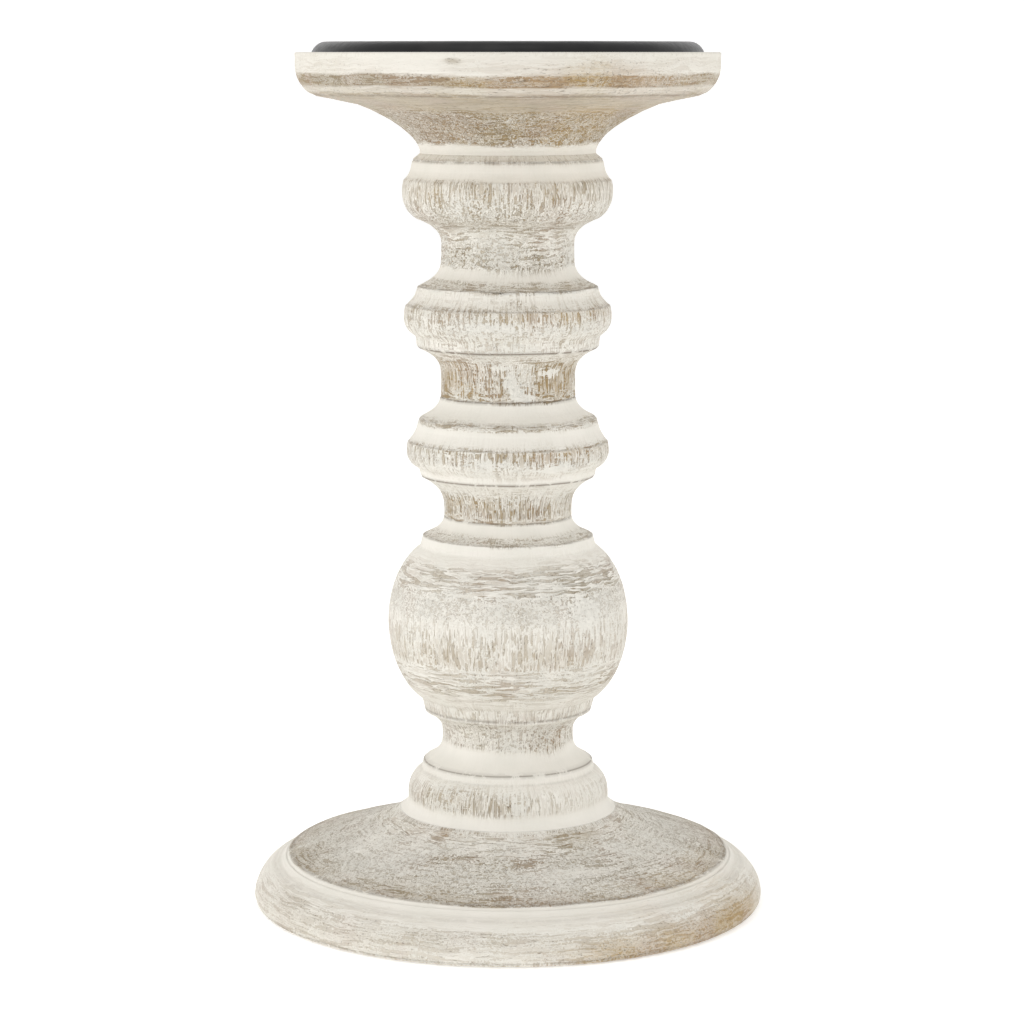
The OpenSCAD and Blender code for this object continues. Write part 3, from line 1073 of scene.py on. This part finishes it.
STEM_BANDS = (
    Band(0, 0.98, 0.3),
    Band(3.3, 0.97, 0.3),
    Band(4.3, 0.84, 0.2, 0, 0.1),
    Band(9.5, 0.82, 0.2, 0, 0.1),
    Band(10.5, 0.88, 0.3, 0.2, 0.3),
    Band(14.4, 0.96, 0.3, 0.3, 0.1),
    Band(15.2, 0.99, 0.3),
    Band(20, 0.98, 0.3),
    Band(21.5, 0.8, 0.25, 0.2, 0.4, 1.3),
    Band(27, 0.8, 0.2, 0.4, 0.4, 1.3),
    Band(30.2, 0.9, 0.2, 0.3, 0.3),
    Band(31, 0.78, 0.4, 0, 0),
    Band(33.8, 0.82, 0.3, 0, 0),
    Band(35, 0.9, 0.3, 0.5, 0.1),
    Band(38.5, 0.84, 0.3, 1, 0.1),
    Band(41, 0.74, 0.3, 1, 0.1, 1.2),
    Band(47, 0.8, 0.3, 0.8, 0.2),
    Band(48.5, 0.68, 0.35, 0, 0.05, 0.8),
    Band(54, 0.7, 0.35, 0, 0.05, 0.8),
    Band(60, 0.83, 0.3, 0, 0.2),
    Band(63, 0.84, 0.2, 0.2, 0.8, 1.3),
    Band(68, 0.82, 0.2, 0.6, 0.7, 1.3),
    Band(70, 0.78, 0.15, 1, 0.1, 1.3),
    Band(75, 0.8, 0.15, 1, 0.1, 1.3),
    Band(77.5, 0.93, 0.3, 1, 0.1, 1.4),
    Band(82.3, 0.97, 0.3),
    Band(82.8, 0.62, 0.3, 0.7, 0.4),
    Band(84.2, 0.74, 0.3, 0.7, 0.4),
    Band(85.2, 0.98, 0.3),
    Band(87.8, 0.97, 0.3),
    Band(88.2, 0.52, 0.6, 0.8, 0.2),
    Band(89.4, 0.62, 0.6, 0.5, 0.2),
    Band(90.2, 0.54, 0.6, 0, 0.1, 1.5),
    Band(95, 0.54, 0.5, 0, 0.2, 1.5),
    Band(96.8, 0.82, 0.3, 0.4, 0.3),
    Band(99.4, 0.86, 0.3, 0.4, 0.3),
    Band(101.2, 0.95, 0.3, 0.3, 0.1),
    Band(102.5, 0.86, 0.3, 0.3, 0.1),
    Band(105.2, 0.82, 0.3, 0.3, 0.5),
    Band(106.6, 0.7, 0.35, 0, 0.3, 1.3),
    Band(109.5, 0.6, 0.4, 0, 0.1, 1.3),
    Band(110.6, 0.6, 0.4, 0.5, 0.2),
    Band(111.6, 0.92, 0.3, 0.3, 0.1),
    Band(115.6, 0.98, 0.3),
    Band(116.3, 0.6, 0.35, 0.9, 0.3),
    Band(117.6, 0.58, 0.35, 0.9, 0.3),
    Band(118.4, 0.94, 0.3, 0.5, 0.1),
    Band(123.1, 0.97, 0.3),
    Band(123.6, 0.38, 0.5, 0.8, 0.2, 1.3),
    Band(127, 0.37, 0.55, 0.1, 0.2, 1.3),
    Band(134, 0.42, 0.55, 0.2, 0.2, 1.3),
    Band(136.5, 0.76, 0.4, 0.6, 0.4),
    Band(138.2, 0.84, 0.3, 0.5, 0.3),
    Band(140, 0.78, 0.3, 0.3, 0.1),
    Band(142.6, 0.7, 0.3, 0.3, 0.1),
    Band(144.2, 0.78, 0.35, 0.3, 0.5),
    Band(148.5, 0.66, 0.4, 0, 0.2, 1.2),
    Band(150.5, 0.62, 0.35, 0.2, 0.2),
    Band(151.5, 0.86, 0.3, 0.3, 0.1),
    Band(155.4, 0.93, 0.3, 0.3, 0.1, 1.5),
    Band(156.3, 0.58, 0.35, 0.8, 0.4),
    Band(158, 0.66, 0.3, 0.8, 0.4),
    Band(158.8, 0.95, 0.3),
    Band(161.3, 0.95, 0.3),
    Band(162.5, 0.72, 0.25, 0.8, 0.6, 1.4),
    Band(167, 0.76, 0.25, 0.8, 0.5, 1.3),
    Band(172, 0.76, 0.25, 0.9, 0.3, 1.2),
    Band(174.5, 0.56, 0.3, 0.9, 0.5),
    Band(176.5, 0.6, 0.3, 0.3, 0.8, 1.2),
    Band(179.5, 0.66, 0.3, 0, 0.5, 1.2),
    Band(184, 0.7, 0.3, 0, 0.05),
    Band(186.8, 0.62, 0.3, 0, 0.05),
    Band(187.8, 0.95, 0.3, 0.3, 0.1),
    Band(191.6, 0.98, 0.3),
    Band(192.8, 0.8, 0.3, 0, 0.3),
    Band(194.5, 0.88, 0.3, 0.3, 0.3),
)
STEM_RUBS = (
    Rub(-30, 7, 22, 3, -0.24, 0.1),
    Rub(35, 7, 16, 4, 0.03, 0.2),
    Rub(40, 23.5, 10, 3.5, -0.36, 0.3),
    Rub(-10, 28.5, 14, 1.3, -0.12, -0.2),
    Rub(22, 51, 9, 3, -0.1, 0.1),
    Rub(-40, 51, 12, 4, -0.07, 0.1),
    Rub(0, 41, 26, 2.5, -0.05, 0.1),
    Rub(35, 73, 16, 5, -0.1, -0.2),
    Rub(36, 109.5, 14, 2, -0.14, 0.5),
    Rub(-45, 92.5, 14, 3, -0.08, 0.2),
    Rub(48, 129, 12, 5, -0.1, 0.3),
    Rub(-42, 130, 14, 5, -0.06, 0.5),
    Rub(-2, 130.5, 10, 3, 0.1, -0.2),
    Rub(38, 149, 20, 2.5, -0.14, 0.5),
    Rub(5, 153.3, 2, 0.5, -0.5, 0.2),
    Rub(-15, 184, 16, 2.5, -0.08, 0.1),
    Rub(28, 184, 8, 3, -0.05, 0.2),
    Rub(-50, 183.5, 8, 2.5, -0.08, 0.3),
    Rub(15, 162, 18, 1.5, -0.16, -0.2),
    Rub(-48, 166, 8, 3.5, -0.14, -0.1),
)
STEM_DAUBS = (
    Rub(3, 129.5, 3, 3.4, 1),
    Rub(9, 126, 3.5, 2.8, 1),
    Rub(17, 124.6, 4, 1.6, 1),
    Rub(-6, 133.5, 8, 1.2, 0.85),
    Rub(38, 132, 7, 1.6, 0.85),
    Rub(-12, 106.5, 6, 1.6, 0.85),
    Rub(30, 105, 8, 2, 0.9),
    Rub(40, 64, 8, 8, 0.8),
    Rub(-10, 146, 12, 1.6, 0.85),
    Rub(6, 6.5, 3, 2.2, 0.95),
)


def make_stem() -> Turned:
    """The stem: foot bead, ball and three beads between a tenon at each end.

    Returns:
        The piece, ready to build.
    """
    finish = Whitewash(
        name="whitewash_stem",
        grain=Grain.UPRIGHT,
        bands=STEM_BANDS,
        grooves=(
            Groove(12.3, 0.15, 0.15),
            Groove(14.8, 0.3, 0.75, 0.25),
            Groove(30.7, 0.3, 0.5, 0.4),
            Groove(82.7, 0.2, 0.4),
            Groove(88.1, 0.25, 0.5),
            Groove(100.2, 0.3, 0.85, 0.35),
            Groove(110.7, 0.15, 0.3),
            Groove(117.4, 0.2, 0.35),
            Groove(123.5, 0.25, 0.75),
            Groove(138.1, 0.3, 0.9, 0.4),
            Groove(150.7, 0.15, 0.3),
            Groove(156.2, 0.2, 0.4),
            Groove(173.6, 0.12, 0.2),
            Groove(192.6, 0.25, 0.5, 0.35),
        ),
        rubs=STEM_RUBS,
        daubs=STEM_DAUBS,
    )
    return Turned(
        name="turned_stem",
        node="stem",
        lift=STEM_Z,
        stick=STEM_STICK,
        before=((0, 48.6), (2.77, 48.6), (2.77, -13.5), (15, -13.5), (15, 0), (24, 0)),
        after=((18, 194.5), (12.5, 194.5), (12.5, 206.5), (2.42, 206.5), (2.42, 168.1), (0, 168.1)),
        steps=236,
        spacing=0.86,
        finish=finish,
    )


STEM_STICK = (
    Mark(0, 32.2),
    Mark(4, 30, Runs.NECK),
    Mark(5, 30, Runs.CREST),
    Mark(12, 26.4),
    Mark(12.6, 25.8),
    Mark(14.8, 25.3),
    Mark(22.5, 19.6, Runs.NECK),
    Mark(29.8, 24.8),
    Mark(30.5, 25),
    Mark(34, 25.9),
    Mark(34.5, 26.7),
    Mark(57, 35.8, Runs.CREST),
    Mark(79, 26.6),
    Mark(79.5, 26.1),
    Mark(82.6, 25.3),
    Mark(89.5, 19, Runs.NECK),
    Mark(99.7, 25.3),
    Mark(100, 25.9),
    Mark(102.2, 26.3),
    Mark(102.7, 26.8),
    Mark(107.3, 29.9, Runs.CREST),
    Mark(110.4, 29.6),
    Mark(110.8, 29.2),
    Mark(114.3, 27.1, bow=-0.2),
    Mark(117.5, 26.2),
    Mark(125.5, 19.9, Runs.NECK),
    Mark(129.5, 19.9, Runs.NECK),
    Mark(137.7, 26.1),
    Mark(138, 26.8),
    Mark(141.2, 27.2),
    Mark(141.7, 27.6),
    Mark(146.8, 30.6, Runs.CREST),
    Mark(150.4, 30.1),
    Mark(150.8, 29.6),
    Mark(153.5, 27.3, bow=-0.2),
    Mark(156.1, 26.5),
    Mark(164.5, 19.7, Runs.NECK),
    Mark(167.5, 19.6, Runs.NECK),
    Mark(175.4, 26.6),
    Mark(183.3, 30.9, Runs.CREST),
    Mark(186.9, 30.4),
    Mark(187.3, 29.9),
    Mark(189.8, 28.5, bow=-0.2),
    Mark(192.9, 27.8),
    Mark(194.5, 25.6),
)


CUP_BANDS = (
    Band(0, 0.92, 0.3, 1, 0.1, 0.3),
    Band(2.2, 0.9, 0.3, 1, 0.1, 0.3),
    Band(3.2, 0.3, 0.5, 1, 0.75, 1.4),
    Band(11.2, 0.22, 0.5, 1, 0.75, 1.4),
    Band(12.8, 0.28, 0.4, 1, 0.2, 0.3),
    Band(15.7, 0.33, 0.35, 1, 0.1, 0.3),
    Band(16.1, 0.3, 0.4, 1, 0.2, 0.4),
    Band(17.3, 0.34, 0.4, 1, 0.2, 0.4),
    Band(17.8, 0.58, 0.35, 1, 0.1, 0.3),
    Band(19.2, 0.58, 0.35, 1, 0.1, 0.3),
    Band(19.7, 0.1, 0.45, 1, 0.5, 0.7),
    Band(22.4, 0.12, 0.45, 1, 0.5, 0.7),
    Band(23.1, 0.76, 0.35, 1, 0.2, 0.3),
    Band(29, 0.85, 0.25, 1, 0.2, 0.25),
)
CUP_RUBS = (
    Rub(26, 24.2, 11, 2.6, -0.26, 0.5),
    Rub(24, 21.2, 28, 2.2, 0.04, 0.8),
    Rub(66, 21.5, 16, 2.5, 0.12, -0.2),
    Rub(-44, 21.2, 20, 1.8, 0.02, -0.5),
    Rub(-12, 22.4, 14, 1, 0.22, 0),
    Rub(-26, 26, 12, 3, 0.08, -0.6),
    Rub(-14, 26.5, 1.6, 0.8, -0.4, 0),
    Rub(36, 7.5, 16, 5, -0.06, 1.3),
    Rub(-34, 6.5, 12, 2.5, -0.12, 0.3),
)


def make_cup() -> Turned:
    """The cup: a rounded rim over a hollow flare, recessed for the pan.

    Returns:
        The piece, ready to build.
    """
    finish = Whitewash(
        name="whitewash_cup",
        grain=Grain.ACROSS,
        bands=CUP_BANDS,
        grooves=(Groove(16.75, 0.35, 0.45, 0.4), Groove(19.45, 0.15, 0.15)),
        rubs=CUP_RUBS,
        girth=50.0,
        swirl=0.07,
    )
    return Turned(
        name="candle_cup",
        node="cup",
        lift=CUP_Z,
        stick=(
            Mark(0, 25.6),
            Mark(1, 25.8),
            Mark(14, 44, bow=-3.4),
            Mark(16.5, 56.2),
            Mark(16.9, 57),
            Mark(25, 61.8, Runs.CREST),
            Mark(28.6, 61.7),
            Mark(29, 61.3),
        ),
        before=((2.8, 12.5), (12.55, 12.5), (12.55, 0), (20, 0)),
        after=((56, 29), (50.4, 29), (50.4, 22.5), (9, 22.5), (9, 17.5), (2.8, 17.5), (2.8, 12.5)),
        steps=400,
        spacing=0.6,
        finish=finish,
    )


@dataclass
class Pan:
    """The pressed candle pan: floor, rounded corner, upright wall and a lip rolled over the wood."""

    finish: BlackEnamel = field(default_factory=BlackEnamel)
    floor: float = 23.5
    wall: float = 49.0
    corner: float = 4.0
    sheet: float = 1.0
    mouth: float = 29.0
    lip_rise: float = 3.0
    lip_top: float = 52.5
    lip_foot: float = 56.7

    def corner_arc(self, radius: float, steps: int = 10) -> list[Point]:
        """The rounded corner between the floor and the wall, from the floor up.

        Args:
            radius: Radius of the arc.
            steps: How many straight stretches make it up.

        Returns:
            Radius and height of each point, in millimetres.
        """
        turns = [math.pi / 2 * i / steps for i in range(steps + 1)]
        middle = (self.wall - self.corner, self.floor + self.corner)
        return [(middle[0] + radius * math.sin(t), middle[1] - radius * math.cos(t)) for t in turns]

    def lip(self, inner: float, outer: float, top: float) -> list[Point]:
        """One side of the rolled lip, from the wall over to its foot on the wood.

        Args:
            inner: Radius at the wall.
            outer: Radius at the foot.
            top: Height of the roll's top.

        Returns:
            Radius and height of each point, in millimetres.
        """
        peak = Mark(top, self.lip_top, Runs.SHELF)
        shares = [i / 12 for i in range(13)]
        rise = [point_between(Mark(self.mouth, inner), peak, t) for t in shares]
        return rise + [point_between(peak, Mark(self.mouth, outer), t) for t in shares[1:]]

    def build(self) -> None:
        """Builds the pan, countersinks it for its screws and dresses it."""
        top = self.mouth + self.lip_rise
        floor = [(r, self.floor) for r in (0, 12, 24, 33, 37, 41)]
        upper = self.lip(self.wall, self.lip_foot, top)
        lower = self.lip(self.wall + self.sheet, self.lip_foot - self.sheet, top - self.sheet)[::-1]
        foot = [(self.lip_foot - 0.1, self.mouth), (self.lip_foot - self.sheet + 0.1, self.mouth)]
        outside = self.corner_arc(self.corner + self.sheet)[::-1]
        under = [(r, self.floor - self.sheet) for r in (41, 33, 24, 12, 0)]
        points = [*floor, *self.corner_arc(self.corner), *upper, *foot, *lower, *outside, *under]
        pan = Tools.turn("black_pan", points, 288, CUP_Z)
        for cutter in PanScrews().cutters():
            Tools.cut(pan, cutter)
        bpy.ops.object.shade_smooth_by_angle(angle=SHARP_EDGE)
        finish_piece(pan, self.finish.make(), "black_pan", "candle_pan")


@dataclass
class PanScrews:
    """Three small countersunk screws with crossed slots."""

    finish: Steel = field(default_factory=lambda: Steel("black_screw", srgb(52, 52, 54), 0.38))
    circle: float = 35.0
    top: float = 23.35
    head: float = 2.8
    shank: float = 1.45
    head_depth: float = 1.7
    length: float = 10.0
    count: int = 3
    slot: tuple[float, float, float] = (3.0, 0.55, 1.7)

    def place(self, piece: Piece, turn: int) -> Piece:
        """Moves a piece made round the axis to one of the screws' places.

        Args:
            piece: The piece to move.
            turn: Which of the places it goes to, from 0.

        Returns:
            The same piece.
        """
        way = math.radians(90 + 360 / self.count * turn)
        Tools.take(piece)
        bpy.ops.transform.translate(value=(self.circle * math.cos(way) * MM, self.circle * math.sin(way) * MM, 0))
        return Tools.settle(piece)

    def cutters(self) -> Iterable[Piece]:
        """Tapered cutters for the countersinks, one after another.

        Returns:
            One cutter for each screw.
        """
        rim = self.head + 0.05
        hole = self.shank + 0.1
        slope = [(0, -2.6), (hole, -2.6), (hole, -self.head_depth), (rim, 0), (rim, 0.4), (0, 0.4)]
        for turn in range(self.count):
            yield self.place(Tools.turn("cutter", slope, 40, CUP_Z + self.top), turn)

    def build(self) -> None:
        """Builds the three screws as one piece and dresses it."""
        shape = [(0, -self.length), (0.5, 1.5 - self.length), (self.shank, 3 - self.length)]
        shape += [(self.shank, -self.head_depth), (self.head - 0.1, -0.1), (self.head - 0.25, 0), (0, 0)]
        middle = (0, 0, (CUP_Z + self.top) * MM)
        screws = []
        for turn in range(self.count):
            screw = Tools.turn("pan_screw", shape, 40, CUP_Z + self.top)
            for quarter in range(2):
                Tools.deselect()
                way = (0, 0, quarter * math.pi / 2 + 0.5 * turn)
                bpy.ops.mesh.primitive_cube_add(size=1, location=middle, rotation=way)
                slot = bpy.context.object
                slot.scale = tuple(v * MM for v in self.slot)
                Tools.cut(screw, Tools.settle(slot))
            screws.append(self.place(screw, turn))
        Tools.deselect()
        for screw in screws:
            screw.select_set(True)
        bpy.context.view_layer.objects.active = screws[0]
        bpy.ops.object.join()
        piece = Tools.name(bpy.context.object, "pan_screw_set")
        bpy.ops.object.shade_smooth_by_angle(angle=SHARP_EDGE)
        finish_piece(piece, self.finish.make(), "black_screw", "pan_screws")


@dataclass
class FeltDisc:
    """The felt under the base, with softly cut edges."""

    finish: Felt = field(default_factory=Felt)
    radius: float = 66.0
    thickness: float = 2.0
    soft: float = 0.35

    def build(self) -> None:
        """Builds the disc and dresses it."""
        edge = [
            (self.radius - self.soft * (1 - math.sin(t)), self.soft * (1 - math.cos(t)))
            for t in (0, 0.4, 0.8, 1.2, math.pi / 2)
        ]
        head = [(r, self.thickness - h) for r, h in edge[::-1]]
        rings = (0, 20, 40, 58)
        points = [*((r, 0) for r in rings), *edge, *head, *((r, self.thickness) for r in rings[::-1])]
        disc = Tools.turn("felt_pad", points, 180)
        bpy.ops.object.shade_smooth_by_angle(angle=SHARP_EDGE)
        finish_piece(disc, self.finish.make(), "felt", "felt_disc")


@dataclass(frozen=True)
class Lamp:
    """A large soft lamp: its place and size in metres and its power in watts."""

    name: str
    place: tuple[float, float, float]
    size: float
    power: float


@dataclass
class Stage:
    """Plain pale sweep, soft studio light and the camera."""

    camera_back: float = 0.9
    camera_right: float = 0.0012
    eye: float = 0.2515
    tilt: float = 8.5
    lens: float = 108.2
    surround: float = 0.7
    paper_glow: float = 0.33
    sweep_size: float = 5.0
    wall_height: float = 2.5
    bend: float = 1.0
    aim: tuple[float, float, float] = (0, 0, 0.12)
    lamps: tuple[Lamp, ...] = (
        Lamp("key_light", (-1.1, -1.9, 1.1), 1.2, 7.5),
        Lamp("fill_light", (1.3, -1.9, 0.5), 1.6, 2.5),
        Lamp("top_light", (-0.2, -0.5, 2.0), 1.2, 3.0),
        Lamp("left_box", (-1.7, -0.1, 0.5), 1.0, 5.5),
        Lamp("right_box", (1.7, -0.1, 0.5), 1.0, 4.5),
    )

    def build(self) -> None:
        """Builds the sweep, the lights and the camera."""
        self.sweep()
        for lamp in self.lamps:
            self.light(lamp)
        self.world()
        self.camera()

    def sweep(self) -> None:
        """A floor that bends up into a back wall."""
        Tools.deselect()
        bpy.ops.mesh.primitive_plane_add(size=self.sweep_size, location=(0, 0, 0))
        floor = Tools.name(bpy.context.object, "pale_floor")
        bpy.ops.object.mode_set(mode="EDIT")
        self.pick_back_edge(floor)
        bpy.ops.mesh.extrude_region_move(TRANSFORM_OT_translate={"value": (0, 0, self.wall_height)})
        self.pick_back_edge(floor)
        bpy.ops.mesh.bevel(offset=self.bend, segments=24, affect="EDGES")
        bpy.ops.object.mode_set(mode="OBJECT")
        Tools.settle(floor)
        bpy.ops.object.shade_smooth()
        g = Graph("pale_paper")
        g.put(g.shader.inputs["Base Color"], (*srgb(250, 250, 249), 1))
        g.shader.inputs["Roughness"].default_value = 0.9
        g.shader.inputs["Specular IOR Level"].default_value = 0.1
        g.shader.inputs["Emission Color"].default_value = (1, 1, 1, 1)
        g.shader.inputs["Emission Strength"].default_value = self.paper_glow
        floor.data.materials.append(g.material)
        floor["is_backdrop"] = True

    def pick_back_edge(self, floor: Piece) -> None:
        """Selects only the floor's back edge, where it meets the wall.

        Args:
            floor: The sweep, in edit mode.
        """
        bpy.ops.mesh.select_all(action="DESELECT")
        mesh = bmesh.from_edit_mesh(floor.data)
        for edge in mesh.edges:
            edge.select_set(all(v.co.y > 0.48 * self.sweep_size and v.co.z < 0.01 for v in edge.verts))
        mesh.select_flush_mode()
        bmesh.update_edit_mesh(floor.data)

    def light(self, lamp: Lamp) -> None:
        """Hangs a lamp that looks at the middle of the candlestick.

        Args:
            lamp: The lamp to hang.
        """
        bpy.ops.object.light_add(type="AREA", location=lamp.place)
        made = bpy.context.object
        made.name = lamp.name
        made.data.size = lamp.size
        made.data.energy = lamp.power
        made.rotation_euler = (Vector(self.aim) - Vector(lamp.place)).to_track_quat("-Z", "Y").to_euler()

    def world(self) -> None:
        """An even white surround."""
        world = bpy.data.worlds.new("studio")
        world.use_nodes = True
        world.node_tree.nodes["Background"].inputs[0].default_value = (1, 1, 1, 1)
        world.node_tree.nodes["Background"].inputs[1].default_value = self.surround
        bpy.context.scene.world = world
        bpy.context.scene.view_settings.view_transform = "Standard"

    def camera(self) -> None:
        """The camera, level with the cup's rim and tilted down."""
        bpy.ops.object.camera_add(location=(self.camera_right, -self.camera_back, self.eye))
        camera = bpy.context.object
        camera.rotation_euler = (math.radians(90 - self.tilt), 0, 0)
        camera.data.lens = self.lens
        camera.data.sensor_width = 36
        bpy.context.scene.camera = camera


def write_sizes() -> None:
    """Logs the visual model's box."""
    low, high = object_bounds()
    LOG.info("visual box %s to %s", *(tuple(round(v / MM, 2) for v in corner) for corner in (low, high)))


def main() -> None:
    """Builds the candlestick and its stage."""
    logging.basicConfig(level=logging.INFO, format="%(message)s")
    Stage().build()
    for maker in (make_base, make_stem, make_cup):
        maker().build()
    for part in (Pan(), PanScrews(), FeltDisc()):
        part.build()
    zinc = Steel().make()
    for node in ("base_screw", "base_washer", "cup_screw", "cup_washer"):
        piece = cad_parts[node]
        piece.data.materials.clear()
        piece.data.materials.append(zinc)
    write_sizes()


if __name__ == "__main__":
    main()
